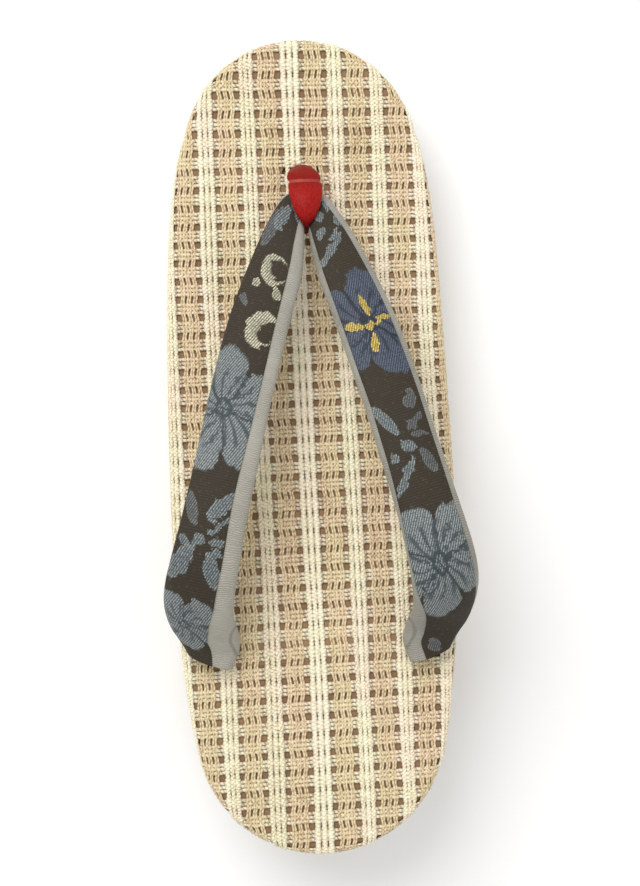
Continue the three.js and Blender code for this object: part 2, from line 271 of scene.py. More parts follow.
def outline(inset, count=1000):
    """The board's outline in millimetres, moved in by inset, with its normals."""
    half = sizes().half_width / MM
    toe = sizes().toe_radius / MM
    heel = sizes().heel_radius / MM
    end = BOARD_HIGH.y / MM
    toe_x = math.sqrt(TOE_ARC * (2 * toe - TOE_ARC))
    heel_x = math.sqrt(HEEL_ARC * (2 * heel - HEEL_ARC))
    turn = np.linspace(math.pi / 2, math.atan2(toe - TOE_ARC, toe_x), 200)[:, None]
    toe_arc = np.hstack([np.cos(turn) * toe, end - toe + np.sin(turn) * toe])
    turn = np.linspace(math.atan2(HEEL_ARC - heel, heel_x), -math.pi / 2, 200)[:, None]
    heel_arc = np.hstack([np.cos(turn) * heel, heel - end + np.sin(turn) * heel])
    widest = (half, end - WIDEST_FROM_TOE)
    front = bezier((toe_x, end - TOE_ARC), (toe_x + 0.6, end - 31), (half, end - 37), widest, 200)
    back = bezier(widest, (half, end - 142), (half, 58 - end), (heel_x, HEEL_ARC - end), 200)
    right = np.vstack([toe_arc, front[1:], back[1:], heel_arc[1:]])
    left = right[-2:0:-1] * (-1, 1)
    loop = np.vstack([right, left, right[:1]])
    along = np.r_[0, np.cumsum(np.linalg.norm(np.diff(loop, axis=0), axis=1))]
    even = np.linspace(0, along[-1], count, endpoint=False)
    points = np.stack([np.interp(even, along, loop[:, k]) for k in (0, 1)], axis=1)
    tangent = np.roll(points, -2, axis=0) - np.roll(points, 2, axis=0)
    tangent /= np.linalg.norm(tangent, axis=1)[:, None]
    normal = np.stack([-tangent[:, 1], tangent[:, 0]], axis=1)
    return points - normal * inset, normal


class BoardWrap:
    """Lays flat cloth over the board: across the top, round the edge and down the wall."""

    def __init__(self):
        self.edge = sizes().board_edge / MM
        self.wall = (sizes().board_depth - sizes().board_edge) / MM - 1.0
        self.points, self.normals = outline(self.edge)
        self.arc = self.edge * math.pi / 2
        self.limit = self.arc + self.wall + 2.4

    def measure(self, flat):
        """Distance outside the flat top, nearest edge point and normal."""
        nearest = np.zeros(len(flat), int)
        for start in range(0, len(flat), 4000):
            part = flat[start:start + 4000]
            gap = ((part[:, None, :] - self.points[None]) ** 2).sum(2)
            nearest[start:start + 4000] = gap.argmin(1)
        foot, normal = self.points[nearest], self.normals[nearest]
        tangent = np.stack([normal[:, 1], -normal[:, 0]], axis=1)
        slide = ((flat - foot) * tangent).sum(1)
        foot = foot + tangent * slide[:, None]
        return ((flat - foot) * normal).sum(1), foot, normal

    def place(self, flat, height):
        """Points in metres for flat cloth positions and heights over the board, in mm."""
        out = np.empty((len(flat), 3))
        out[:, :2] = flat
        out[:, 2] = board_top(flat[:, 1]) + height
        near = np.abs(flat[:, 0]) > 20
        near |= np.abs(flat[:, 1]) > 70
        index = np.where(near)[0]
        distance, foot, normal = self.measure(flat[index])
        over = distance > 0
        index, distance, foot, normal = index[over], distance[over], foot[over], normal[over]
        lift = height[index]
        angle = np.clip(distance / self.edge, 0, math.pi / 2)
        down = np.clip(distance - self.arc, 0, self.wall)
        tuck = np.maximum(distance - self.arc - self.wall, 0)
        bend = np.clip(tuck / TUCK_RADIUS, 0, math.pi / 2)
        outer, under = self.edge + lift, TUCK_RADIUS + lift
        reach = outer * np.sin(angle) - under * (1 - np.cos(bend))
        drop = outer * np.cos(angle) - self.edge - down - under * np.sin(bend)
        out[index, :2] = foot + normal * reach[:, None]
        out[index, 2] = board_top(foot[:, 1]) + drop
        return out * MM


def tube_rings(centre, side, height, halves, tops, sides):
    """Rings round a yarn, as flat positions and heights."""
    turn = np.arange(sides) / sides * 2 * math.pi - math.pi / 2
    across = np.cos(turn)[None, :, None] * halves[:, None, None]
    flat = centre[:, None, :] + side[:, None, :] * across
    rise = height[:, None] + np.sin(turn)[None, :] * tops[:, None]
    return flat, rise


def tube_faces(rings, sides, start):
    """Quads between rings of a tube whose first point has number start."""
    ring = np.arange(rings - 1)[:, None] * sides
    turn = np.arange(sides)[None, :]
    after = (turn + 1) % sides
    quads = np.stack([ring + turn, ring + after, ring + sides + after, ring + sides + turn], axis=2)
    return quads.reshape(-1, 4) + start


def mesh_object(name, points, faces, shade=None, uv=None):
    """An object from arrays of points and quads, with smooth faces."""
    mesh = bpy.data.meshes.new(name)
    mesh.vertices.add(len(points))
    mesh.vertices.foreach_set("co", np.asarray(points, np.float32).ravel())
    mesh.loops.add(faces.size)
    mesh.loops.foreach_set("vertex_index", faces.astype(np.int32).ravel())
    mesh.polygons.add(len(faces))
    mesh.polygons.foreach_set("loop_start", np.arange(0, faces.size, 4, dtype=np.int32))
    mesh.update(calc_edges=True)
    mesh.polygons.foreach_set("use_smooth", np.ones(len(faces), bool))
    if shade is not None:
        layer = mesh.attributes.new("shade", "FLOAT", "POINT")
        layer.data.foreach_set("value", np.asarray(shade, np.float32))
    if uv is not None:
        layer = mesh.uv_layers.new(name="UVMap")
        layer.data.foreach_set("uv", uv[faces.ravel()].astype(np.float32).ravel())
    mesh.validate()
    piece = bpy.data.objects.new(name, mesh)
    bpy.context.scene.collection.objects.link(piece)
    return piece


# ---- The weave ------------------------------------------------------------------


def row_number(v):
    """Rows of holes counted from the toe; whole numbers are the holes' centres."""
    step = sizes().row_step / MM
    return np.where(v > EVEN_FROM, (FIRST_ROW - v) / TOE_STEP, TOE_ROWS + (EVEN_FROM - v) / step)


def row_place(row):
    """Place of a row number down the board, in millimetres."""
    step = sizes().row_step / MM
    return np.where(row < TOE_ROWS, FIRST_ROW - TOE_STEP * row, EVEN_FROM - (row - TOE_ROWS) * step)


def stripe_shift(v, stripe):
    """How far a stripe has moved across at v: a steady lean and a slight wander."""
    lean = 0.0103 * (104.5 - v)
    wander = 0.22 * np.sin(v / 19.0 + stripe * 1.7) + 0.12 * np.sin(v / 7.3 + stripe * 2.9)
    return lean + wander


def hole_share(row):
    """One at the middle of a row of holes, nought in the middle of a band."""
    return (0.5 + 0.5 * np.cos(2 * math.pi * row)) ** 0.8


def in_hole(flat):
    """True where flat positions fall in one of the three strap holes."""
    inside = np.zeros(len(flat), bool)
    for hole, side in ((FRONT_HOLE, 1), (REAR_HOLE, 1), (REAR_HOLE, -1)):
        turn = math.radians(hole["turn"]) * side
        offset = flat - (hole["x"] * side, hole["y"])
        x = offset @ (math.cos(turn), math.sin(turn)) / (hole["long"] / 2 - 0.8)
        y = offset @ (-math.sin(turn), math.cos(turn)) / (hole["wide"] / 2 - 0.8)
        inside |= x * x + y * y < 1
    return inside


class YarnBundle:
    """Collects yarns and makes them one mesh."""

    def __init__(self, wrap, sides):
        self.wrap, self.sides = wrap, sides
        self.flat, self.rise, self.faces, self.shade, self.bare = [], [], [], [], []
        self.uv = []
        self.count = 0

    def add(self, centre, height, halves, tops, shade, bare=None):
        """One yarn, cut off at the edge of the cloth and at the strap's holes."""
        distance, _, _ = self.wrap.measure(centre)
        keep = (distance < self.wrap.limit) & ~in_hole(centre)
        bare = np.zeros(len(centre)) if bare is None else bare
        edges = np.flatnonzero(np.diff(np.r_[False, keep, False].astype(int)))
        for first, last in zip(edges[::2], edges[1::2]):
            if last - first < SHORTEST_YARN:
                continue
            run = slice(first, last)
            size = np.ones(last - first)
            size[[0, -1]] = 0.08
            self.tube(centre[run], height[run], halves[run] * size, tops[run] * size, shade, bare[run])

    def tube(self, centre, height, halves, tops, shade, bare):
        along = np.gradient(centre, axis=0)
        along /= np.linalg.norm(along, axis=1)[:, None]
        side = np.stack([along[:, 1], -along[:, 0]], axis=1)
        flat, rise = tube_rings(centre, side, height, halves, tops, self.sides)
        self.faces.append(tube_faces(len(centre), self.sides, self.count))
        self.flat.append(flat.reshape(-1, 2))
        self.rise.append(rise.ravel())
        self.shade.append(np.full(flat.shape[0] * self.sides, shade))
        self.bare.append(np.repeat(bare, self.sides))
        length = np.r_[0, np.cumsum(np.linalg.norm(np.diff(centre, axis=0), axis=1))]
        turn = np.arange(self.sides) / self.sides
        uv = np.stack(np.broadcast_arrays(turn[None, :], length[:, None]), axis=2)
        self.uv.append(uv.reshape(-1, 2))
        self.count += flat.shape[0] * self.sides

    def build(self, name):
        points = self.wrap.place(np.vstack(self.flat), np.concatenate(self.rise))
        piece = mesh_object(
            name, points, np.vstack(self.faces), np.concatenate(self.shade), np.vstack(self.uv))
        layer = piece.data.attributes.new("bare", "FLOAT", "POINT")
        layer.data.foreach_set("value", np.concatenate(self.bare).astype(np.float32))
        return piece


def warp_line(stripe, step):
    """Stations down one stripe, with its place across and its rows."""
    v = np.arange(CLOTH_REACH, -CLOTH_REACH, -step)
    row = row_number(v)
    return v, row, STRIPES[stripe] + stripe_shift(v, stripe)


def tan_warps(wrap, rng):
    """Six warps to a tan stripe, in three bundles that draw in at each row of holes."""
    bundle = YarnBundle(wrap, 5)
    for stripe in range(len(STRIPES)):
        v, row, left = warp_line(stripe, 0.66)
        hole = hole_share(row)
        slant = 0.32 * np.sin(math.pi * row)
        for k in range(6):
            pair, half = divmod(k, 2)
            u = left + BUNDLES[pair] + (2 * half - 1) * (0.43 - 0.11 * hole) + slant * (hole + 0.3)
            weave = np.cos(2 * math.pi * (row - 0.5) * 2.1) * (-1) ** k
            height = TAN_YARN["height"] + TAN_YARN["swing"] * weave * (1 - hole)
            halves = TAN_YARN["half"] - TAN_YARN["drawn"] * hole
            tops = np.full(len(v), TAN_YARN["thick"])
            bundle.add(np.stack([u, v], 1), height, halves, tops, rng.random())
    return bundle.build("weave_tan_warps")


def cream_ropes(wrap, rng):
    """Three two-ply ropes to a cream stripe. Each ply of all the ropes is one piece."""
    plies = [YarnBundle(wrap, 4), YarnBundle(wrap, 4)]
    for stripe in range(len(STRIPES) - 1):
        v, row, left = warp_line(stripe, 0.3)
        right = STRIPES[stripe + 1] + stripe_shift(v, stripe + 1)
        start, stop = left + STRIPE_SPAN + 0.7, right - 0.7
        hole = hole_share(row)
        for rope in range(3):
            middle = start + (stop - start) * (rope + 0.5) / 3
            room = (stop - start) / 3 / 1.46
            twist = 2 * math.pi * v / PLY_PITCH * (-1) ** (rope + stripe) + rng.random() * 6
            swing = 0.38 - 0.13 * hole
            shade = rng.random()
            for ply, bundle in enumerate(plies):
                turn = twist + ply * math.pi
                u = middle + swing * np.cos(turn)
                height = CREAM_PLY["height"] + CREAM_PLY["swing"] * np.sin(turn) - 0.1 * hole
                halves = (CREAM_PLY["half"] - CREAM_PLY["drawn"] * hole) * room
                tops = np.full(len(v), CREAM_PLY["thick"])
                bundle.add(np.stack([u, v], 1), height, halves, tops, shade)
    return [plies[0].build("weave_cream_ply_a"), plies[1].build("weave_cream_ply_b")]


def wefts(wrap, rng):
    """Three wefts to a band, over and under the tan warps and beneath the ropes."""
    bundle = YarnBundle(wrap, 4)
    u = np.arange(-54.0, 54.0, 0.55)
    for band in range(-4, 48):
        for k in range(3):
            middle = float(row_place(np.array(band + 0.5)))
            slope = 0.004 + 0.026 * smoothstep(-middle, -110, 110)
            v = middle - (k - 1) * WEFT_GAP + u * slope + 0.05 * np.sin(u / 9 + band)
            height = np.full(len(u), WEFT_YARN["height"])
            bare = np.ones(len(u))
            for stripe in range(len(STRIPES)):
                left = STRIPES[stripe] + stripe_shift(v, stripe)
                inside = smoothstep(u - left, 0.5, 1.0) * (1 - smoothstep(u - left, 5.6, 6.1))
                wave = np.cos(math.pi * (u - left - 1.0) / 0.9) * (-1) ** k
                height += inside * WEFT_YARN["swing"] * wave
                bare -= inside
                if stripe + 1 < len(STRIPES):
                    stop = STRIPES[stripe + 1] + stripe_shift(v, stripe + 1) - left
                    under = smoothstep(u - left, 7.2, 7.9)
                    under *= 1 - smoothstep(u - left, stop - 1.2, stop - 0.5)
                    height -= 0.2 * under
            halves = WEFT_YARN["half"] - WEFT_YARN["drawn"] * bare
            tops = np.full(len(u), WEFT_YARN["thick"])
            bundle.add(np.stack([u, v], 1), height, halves, tops, rng.random(), bare)
    return bundle.build("weave_wefts")


# ---- The strap ------------------------------------------------------------------


def catmull(points, t):
    """Points on a smooth curve through all the given ones, t from 0 to 1."""
    points = np.asarray(points, float)
    ends = np.vstack([2 * points[0] - points[1], points, 2 * points[-1] - points[-2]])
    place = np.clip(t, 0, 1) * (len(points) - 1)
    i = np.minimum(place.astype(int), len(points) - 2)
    f = (place - i)[:, None]
    a, b, c, d = ends[i], ends[i + 1], ends[i + 2], ends[i + 3]
    start, stop = 0.5 * (c - a), 0.5 * (d - b)
    return (
        b * (2 * f ** 3 - 3 * f ** 2 + 1) + start * (f ** 3 - 2 * f ** 2 + f)
        + c * (3 * f ** 2 - 2 * f ** 3) + stop * (f ** 3 - f ** 2)
    )


def unit(vectors):
    return vectors / np.linalg.norm(vectors, axis=1)[:, None]


class StrapForm:
    """The strap's sections from the left rear hole, round the nose, to the right one."""

    def __init__(self, count):
        right = np.array(STRAP_ROWS)
        left = right[:0:-1] * (-1, 1, 1, -1, 1, 1, 1)
        rows = np.vstack([left, right])
        rows[:, 2] += board_top(rows[:, 1])
        rows[:, 5] += board_top(rows[:, 4])
        t = np.linspace(0, 1, count)
        fine = catmull(rows, t)
        outer, inner, thick = fine[:, 0:3], fine[:, 3:6], fine[:, 6]
        along = unit(np.gradient(outer + inner, axis=0))
        normal = unit(np.cross(along, outer - inner))
        tail_outer, tail_inner, tail_normal = self.tail()
        flip = np.array([-1, 1, 1])
        self.outer = np.vstack([tail_outer[::-1] * flip, outer, tail_outer])
        self.inner = np.vstack([tail_inner[::-1] * flip, inner, tail_inner])
        self.normal = np.vstack([tail_normal[::-1] * flip, normal, tail_normal])
        tail_thick = np.full(len(tail_outer), REAR_HOLE["wide"])
        self.thick = np.r_[tail_thick, thick, tail_thick]
        middle = (self.outer + self.inner) / 2
        steps = np.linalg.norm(np.diff(middle, axis=0), axis=1)
        along = np.r_[0, np.cumsum(steps)]
        self.along = along - along[-1] / 2
        self.count = len(self.along)

    @staticmethod
    def tail():
        turn = math.radians(REAR_HOLE["turn"])
        across = np.array([math.cos(turn), math.sin(turn), 0]) * REAR_HOLE["long"] / 2
        normal = np.array([math.sin(turn), -math.cos(turn), 0])
        top = float(board_top(REAR_HOLE["y"]))
        depths = np.array([0.8, -3.0, -8.0, 1 - HOLE_DEPTH])
        centre = np.array([REAR_HOLE["x"], REAR_HOLE["y"], top]) + depths[:, None] * (0, 0, 1)
        centre = centre + normal * (0.5 - FACE_SHARE) * REAR_HOLE["wide"]
        return centre + across, centre - across, np.tile(normal, (len(depths), 1))

    def ring(self, turns, grow):
        """Points round every section; turns are angles from the outer edge over the face."""
        middle = (self.outer + self.inner) / 2
        across = self.outer - self.inner
        half = np.linalg.norm(across, axis=1) / 2 + grow
        across = unit(across)
        share = np.where(np.sin(turns) > 0, FACE_SHARE, 1 - FACE_SHARE)
        reach = np.sign(np.cos(turns)) * np.abs(np.cos(turns)) ** 0.8 * half[:, None]
        rise = np.sign(np.sin(turns)) * np.abs(np.sin(turns)) ** 0.85 * (self.thick[:, None] * share + grow)
        return middle[:, None] + across[:, None] * reach[..., None] + self.normal[:, None] * rise[..., None]


def seam_inset(along):
    """Width of lining that shows along the strap's inner edge, in millimetres."""
    left = 5.9 + 1.3 * smoothstep(-along, 60, 100) + 4.2 * smoothstep(-along, 122, 142)
    right = 3.1 - 1.1 * smoothstep(along, 80, 112) + 4.6 * smoothstep(along, 116, 138)
    blend = smoothstep(along, -6, 6)
    return left * (1 - blend) + right * blend


def sheet_from_grid(name, columns, rows):
    """A grid primitive of rows by columns, whose vertices are placed afterwards."""
    bpy.ops.object.select_all(action="DESELECT")
    bpy.ops.mesh.primitive_grid_add(
        x_subdivisions=columns - 1, y_subdivisions=rows - 1, size=2, calc_uvs=True)
    piece = bpy.context.object
    piece.name = name
    piece.data.name = name
    return piece


def grid_order(piece, columns, rows):
    """The row and column of each vertex of a grid primitive."""
    co = np.empty(len(piece.data.vertices) * 3)
    piece.data.vertices.foreach_get("co", co)
    co = co.reshape(-1, 3)
    column = np.rint((co[:, 0] + 1) / 2 * (columns - 1)).astype(int)
    row = np.rint((co[:, 1] + 1) / 2 * (rows - 1)).astype(int)
    return row, column


def place_grid(piece, points, uv):
    """Moves a grid primitive's vertices to points[row, column] and sets its UV map."""
    rows, columns = points.shape[:2]
    row, column = grid_order(piece, columns, rows)
    piece.data.vertices.foreach_set("co", points[row, column].astype(np.float32).ravel())
    loops = np.empty(len(piece.data.loops), np.int32)
    piece.data.loops.foreach_get("vertex_index", loops)
    flat = uv[row, column][loops]
    piece.data.uv_layers[0].data.foreach_set("uv", flat.astype(np.float32).ravel())
    piece.data.update()


def face_points(form, columns):
    """The brocade's surface between its seams, evenly spaced across, with its UVs."""
    turns = np.linspace(math.pi, 0, 161)
    ring = form.ring(np.tile(turns, (form.count, 1)), 0.0)
    steps = np.linalg.norm(np.diff(ring, axis=1), axis=2)
    across = np.hstack([np.zeros((form.count, 1)), np.cumsum(steps, axis=1)])
    start = np.minimum(seam_inset(form.along), across[:, -1] * 0.45)
    stop = across[:, -1] - 4.3 + 2.6 * smoothstep(-form.along, -10, 10)
    share = np.linspace(0, 1, columns)
    where = start[:, None] + (stop - start)[:, None] * share
    points = np.empty((form.count, columns, 3))
    for i in range(form.count):
        for axis in range(3):
            points[i, :, axis] = np.interp(where[i], across[i], ring[i, :, axis])
    uv = np.stack(np.broadcast_arrays(form.along[:, None], where), axis=2)
    return points, uv


def smooth_piece(piece):
    for polygon in piece.data.polygons:
        polygon.use_smooth = True


def press_crease(piece, place, depth):
    """Presses a trough across the top of the thong at place, in millimetres."""
    count = len(piece.data.vertices)
    spots = np.empty(count * 3)
    piece.data.vertices.foreach_get("co", spots)
    spots = spots.reshape(-1, 3) / MM
    normals = np.empty(count * 3)
    piece.data.vertices.foreach_get("normal", normals)
    above = smoothstep(spots[:, 2] - board_top(spots[:, 1]), 6, 9)
    trough = np.exp(-((spots[:, 1] - place) / 0.6) ** 2) * above * depth
    spots = (spots - normals.reshape(-1, 3) * trough[:, None]) * MM
    piece.data.vertices.foreach_set("co", spots.ravel())
    piece.data.update()


def hole_cloths(material):
    """The backing's cloth drawn into each strap hole, dished where the strap goes down."""
    for name, hole, side in (
            ("hole_cloth_front", FRONT_HOLE, 1),
            ("hole_cloth_right", REAR_HOLE, 1),
            ("hole_cloth_left", REAR_HOLE, -1)):
        bpy.ops.object.select_all(action="DESELECT")
        height = float(board_top(hole["y"])) - HOLE_CLOTH_DROP
        place = Vector((hole["x"] * side, hole["y"], height)) * MM
        bpy.ops.mesh.primitive_cylinder_add(
            vertices=48, radius=1.0, depth=HOLE_CLOTH_THICK * MM, location=place)
        piece = bpy.context.object
        piece.name = name
        piece.rotation_euler.z = math.radians(hole["turn"]) * side
        half_long = hole["long"] / 2 + HOLE_CLOTH_REACH
        half_wide = hole["wide"] / 2 + HOLE_CLOTH_REACH
        piece.scale = (half_long * MM, half_wide * MM, 1)
        bpy.ops.object.transform_apply(location=True, rotation=True, scale=True)
        bpy.ops.object.mode_set(mode="EDIT")
        bpy.ops.mesh.select_mode(type="FACE")
        bpy.ops.mesh.select_all(action="DESELECT")
        bpy.ops.object.mode_set(mode="OBJECT")
        for face in piece.data.polygons:
            face.select = face.normal.z > 0.9
        bpy.ops.object.mode_set(mode="EDIT")
        bpy.ops.mesh.inset(thickness=HOLE_CLOTH_THICK * MM)
        bpy.ops.transform.translate(value=(0, 0, -HOLE_CLOTH_DISH * MM))
        bpy.ops.object.mode_set(mode="OBJECT")
        smooth_piece(piece)
        finish_piece(piece, material)


def apply_modifier(piece, kind, **settings):
    bpy.context.view_layer.objects.active = piece
    modifier = piece.modifiers.new(kind.lower(), kind)
    for key, value in settings.items():
        setattr(modifier, key, value)
    bpy.ops.object.modifier_apply(modifier=modifier.name)


def welded_copy(name, node, shrink=0.0):
    """A new object from a node's mesh, with its doubled points joined and drawn in by shrink."""
    piece = bpy.data.objects.new(name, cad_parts[node].data.copy())
    bpy.context.scene.collection.objects.link(piece)
    bpy.ops.object.select_all(action="DESELECT")
    piece.select_set(True)
    bpy.context.view_layer.objects.active = piece
    bpy.ops.object.mode_set(mode="EDIT")
    bpy.ops.mesh.select_all(action="SELECT")
    bpy.ops.mesh.remove_doubles(threshold=WELD)
    if shrink:
        bpy.ops.transform.shrink_fatten(value=-shrink)
    bpy.ops.object.mode_set(mode="OBJECT")
    return piece


def finish_piece(piece, material, replaced=()):
    """Gives a piece its material and body, and hides the nodes it stands for."""
    piece.data.materials.clear()
    piece.data.materials.append(material)
    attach(piece, "root")
    if replaced:
        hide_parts(*replaced)


# ---- Materials ------------------------------------------------------------------


class Bench:
    """Adds and wires the nodes of one material or group."""

    def __init__(self, tree):
        self.tree = tree

    def add(self, kind, **settings):
        node = self.tree.nodes.new(kind)
        for key, value in settings.items():
            setattr(node, key, value)
        return node

    def feed(self, socket, value):
        if isinstance(value, bpy.types.NodeSocket):
            self.tree.links.new(value, socket)
        elif value is not None:
            socket.default_value = value

    def maths(self, operation, *values, clamp=False):
        node = self.add("ShaderNodeMath", operation=operation, use_clamp=clamp)
        for socket, value in zip(node.inputs, values):
            self.feed(socket, value)
        return node.outputs[0]

    def times(self, first, second):
        return self.maths("MULTIPLY", first, second)

    def scaled(self, value, factor, offset):
        """Value times factor, plus offset."""
        return self.maths("MULTIPLY_ADD", value, factor, offset)

    def apart(self, value, middle):
        """How far value is from middle, either way."""
        return self.maths("ABSOLUTE", self.maths("SUBTRACT", value, middle))

    def distance(self, x, y):
        return self.maths("SQRT", self.maths("ADD", self.times(x, x), self.times(y, y)))

    def mix(self, share, first, second, blend="MIX"):
        node = self.add("ShaderNodeMix", data_type="RGBA", blend_type=blend)
        for place, value in ((0, share), (6, first), (7, second)):
            self.feed(node.inputs[place], self.colour(value))
        return node.outputs[2]

    @staticmethod
    def colour(value):
        if hasattr(value, "__len__") and len(value) == 3:
            return (*value, 1)
        return value

    def noise(self, vector, scale, detail=3.0, roughness=0.55):
        node = self.add("ShaderNodeTexNoise")
        self.feed(node.inputs["Vector"], vector)
        self.feed(node.inputs["Scale"], scale)
        self.feed(node.inputs["Detail"], detail)
        self.feed(node.inputs["Roughness"], roughness)
        return node.outputs["Fac"]

    def ramp(self, value, low, high, start=0.0, stop=1.0):
        node = self.add("ShaderNodeMapRange", interpolation_type="SMOOTHSTEP")
        for socket, number in zip(node.inputs, (value, low, high, start, stop)):
            self.feed(socket, number)
        return node.outputs[0]

    def split(self, vector):
        node = self.add("ShaderNodeSeparateXYZ")
        self.feed(node.inputs[0], vector)
        return node.outputs

    def stretch(self, vector, scale):
        node = self.add("ShaderNodeVectorMath", operation="MULTIPLY")
        self.feed(node.inputs[0], vector)
        self.feed(node.inputs[1], scale)
        return node.outputs[0]

    def in_mm(self, vector):
        return self.stretch(vector, TO_MM)

    def place(self, kind="Object"):
        return self.add("ShaderNodeTexCoord").outputs[kind]

    def value(self, name):
        return self.add("ShaderNodeAttribute", attribute_name=name).outputs["Fac"]

    def group(self, name, **values):
        node = self.add("ShaderNodeGroup", node_tree=bpy.data.node_groups[name])
        for key, value in values.items():
            self.feed(node.inputs[key.replace("_", " ")], value)
        return node.outputs

    def wave(self, value, pitch):
        """A smooth wave from 0 to 1 along value, one crest each pitch."""
        turn = self.maths("MULTIPLY", value, 2 * math.pi / pitch)
        return self.maths("MULTIPLY_ADD", self.maths("SINE", turn), 0.5, 0.5)

    def surface(self, shader, colour, height, strength, distance):
        """Gives the shader its colour, and its bump from a height."""
        self.feed(shader.inputs["Base Color"], colour)
        node = self.add("ShaderNodeBump")
        self.feed(node.inputs["Height"], height)
        node.inputs["Strength"].default_value = strength
        node.inputs["Distance"].default_value = distance
        self.feed(shader.inputs["Normal"], node.outputs["Normal"])


def new_group(name, inputs, outputs):
    """An empty shader group with float or vector inputs and float outputs."""
    tree = bpy.data.node_groups.new(name, "ShaderNodeTree")
    for label, kind in inputs:
        tree.interface.new_socket(name=label, in_out="INPUT", socket_type=kind)
    for label in outputs:
        tree.interface.new_socket(name=label, in_out="OUTPUT", socket_type="NodeSocketFloat")
    bench = Bench(tree)
    source = bench.add("NodeGroupInput").outputs
    target = bench.add("NodeGroupOutput").inputs
    return bench, source, target


NUMBER, ARROW = "NodeSocketFloat", "NodeSocketVector"


def build_yarn_twist():
    """Strokes of the plies round a yarn, dark in the grooves between the plies as painted shade, and the
    fibres that stray from them.
    """
    inputs = (("Around", NUMBER), ("Length", NUMBER), ("Pitch", NUMBER), ("Place", ARROW))
    bench, source, target = new_group("yarn_twist", inputs, ("Stroke", "Fibre"))
    turns = bench.maths("DIVIDE", source["Length"], source["Pitch"])
    turns = bench.maths("ADD", turns, source["Around"])
    stroke = bench.wave(turns, 1.0)
    bench.feed(target["Stroke"], bench.maths("POWER", stroke, 0.6))
    fine = bench.noise(source["Place"], 2600.0, 3.0, 0.6)
    broad = bench.noise(source["Place"], 620.0, 2.0)
    fibre = bench.scaled(fine, 0.6, bench.times(broad, 0.4))
    bench.feed(target["Fibre"], bench.ramp(fibre, 0.34, 0.66))


def build_wear():
    """Slow changes of tone over a surface, and small marks of use."""
    inputs = (("Place", ARROW), ("Scale", NUMBER))
    bench, source, target = new_group("wear", inputs, ("Tone", "Marks"))
    tone = bench.noise(source["Place"], source["Scale"], 3.0)
    bench.feed(target["Tone"], bench.ramp(tone, 0.3, 0.7))
    small = bench.noise(source["Place"], bench.times(source["Scale"], 11.0), 5.0, 0.7)
    bench.feed(target["Marks"], bench.ramp(small, 0.6, 0.74))


def build_grain():
    """Pebbles of leatherette or rubber, as a height and its creases."""
    inputs = (("Place", ARROW), ("Scale", NUMBER))
    bench, source, target = new_group("grain", inputs, ("Height", "Crease"))
    cells = bench.add("ShaderNodeTexVoronoi", feature="DISTANCE_TO_EDGE")
    bench.feed(cells.inputs["Vector"], source["Place"])
    bench.feed(cells.inputs["Scale"], source["Scale"])
    pebble = bench.ramp(cells.outputs["Distance"], 0.0, 0.3)
    fine = bench.noise(source["Place"], bench.times(source["Scale"], 2.7), 3.0)
    bench.feed(target["Height"], bench.scaled(fine, 0.35, pebble))
    bench.feed(target["Crease"], bench.maths("SUBTRACT", 1.0, pebble))


def figure_place(bench, source):
    """Place in a figure's own frame: round its middle, in half lengths and half widths."""
    x = bench.maths("SUBTRACT", source["Along"], source["Middle along"])
    y = bench.maths("SUBTRACT", source["Across"], source["Middle across"])
    turn = bench.maths("RADIANS", source["Turn"])
    cos, sin = bench.maths("COSINE", turn), bench.maths("SINE", turn)
    own_x = bench.maths("ADD", bench.times(x, cos), bench.times(y, sin))
    own_y = bench.maths("SUBTRACT", bench.times(y, cos), bench.times(x, sin))
    own_x = bench.maths("DIVIDE", own_x, bench.times(source["Length"], 0.5))
    own_y = bench.maths("DIVIDE", own_y, bench.times(source["Width"], 0.5))
    return bench.distance(own_x, own_y), bench.maths("ARCTAN2", own_y, own_x)


FIGURE_INPUTS = tuple((label, NUMBER) for label in (
    "Along", "Across", "Middle along", "Middle across", "Length", "Width", "Turn"))


def build_patch():
    """A small woven oval: a dot, a wing or a streak."""
    bench, source, target = new_group("patch", FIGURE_INPUTS, ("Mask", "Detail"))
    reach, angle = figure_place(bench, source)
    bench.feed(target["Mask"], bench.ramp(reach, 1.04, 0.94))
    rays = bench.wave(bench.maths("ADD", angle, bench.times(reach, 1.2)), 0.52)
    rim = bench.ramp(reach, 0.55, 0.9)
    bench.feed(target["Detail"], bench.maths("MAXIMUM", rim, bench.scaled(rays, 0.5, 0.4)))


def build_swirl():
    """A crescent curl, open towards the strap's inner edge."""
    bench, source, target = new_group("swirl", FIGURE_INPUTS, ("Mask", "Detail"))
    reach, angle = figure_place(bench, source)
    shift = 0.4
    square = bench.times(reach, reach)
    lean = bench.times(bench.times(reach, bench.maths("SINE", angle)), 2 * shift)
    inner = bench.maths("SQRT", bench.maths("ADD", bench.maths("ADD", square, lean), shift * shift))
    body = bench.times(bench.ramp(reach, 1.03, 0.95), bench.ramp(inner, 0.58, 0.66))
    bench.feed(target["Mask"], body)
    bench.feed(target["Detail"], bench.ramp(reach, 0.3, 0.9, 0.55, 1.0))


